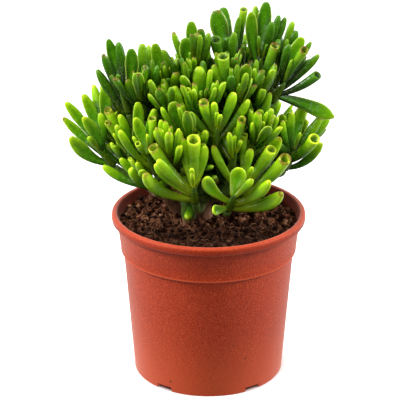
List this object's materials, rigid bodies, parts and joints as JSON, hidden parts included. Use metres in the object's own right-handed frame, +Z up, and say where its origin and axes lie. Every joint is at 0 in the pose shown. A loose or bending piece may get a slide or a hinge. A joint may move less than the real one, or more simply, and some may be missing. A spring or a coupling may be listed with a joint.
{
  "type": "potted jade plant",
  "caption": "Jade plant with tubular, cup-tipped leaves on forked woody stems, rooted in soil in a tapered plastic nursery pot with a collar and a notched foot.",
  "frame": {"origin": "middle of the pot's foot disc, on the surface that the pot stands on", "axes": "+Z up along the pot's axis; -Y faces the viewer of the picture, +X to their right"},
  "size_m": [0.1646, 0.1322, 0.2292],
  "materials": {
    "pot_plastic": "terracotta-coloured moulded plastic, satin, with a fine speckled grain",
    "peat_soil": "dark crumbly peat with short plant fibres",
    "woody_stem": "rough brown-green succulent bark",
    "green_leaf": "waxy green leaf, yellow-green at the rim, reddish brown at some tips"
  },
  "bodies": {
    "root": {"pot": "pot_plastic", "soil": "peat_soil", "trunk_left": "woody_stem", "trunk_centre": "woody_stem", "shoot_01": "green_leaf", "shoot_02": "green_leaf", "shoot_03": "green_leaf", "shoot_04": "green_leaf", "shoot_05": "green_leaf", "shoot_06": "green_leaf", "shoot_07": "green_leaf", "shoot_08": "green_leaf", "shoot_09": "green_leaf", "shoot_10": "green_leaf", "shoot_11": "green_leaf", "shoot_12": "green_leaf", "shoot_13": "green_leaf", "shoot_14": "green_leaf", "shoot_15": "green_leaf", "shoot_16": "green_leaf", "shoot_17": "green_leaf", "shoot_18": "green_leaf", "shoot_19": "green_leaf", "shoot_20": "green_leaf", "shoot_21": "green_leaf", "shoot_22": "green_leaf", "shoot_23": "green_leaf", "shoot_24": "green_leaf", "shoot_25": "green_leaf", "shoot_26": "green_leaf", "shoot_27": "green_leaf", "shoot_28": "green_leaf", "shoot_29": "green_leaf", "shoot_30": "green_leaf", "shoot_31": "green_leaf", "shoot_32": "green_leaf", "shoot_33": "green_leaf", "shoot_34": "green_leaf", "shoot_35": "green_leaf", "shoot_36": "green_leaf", "shoot_37": "green_leaf", "shoot_38": "green_leaf", "shoot_39": "green_leaf", "shoot_40": "green_leaf"}
  },
  "joints": []
}
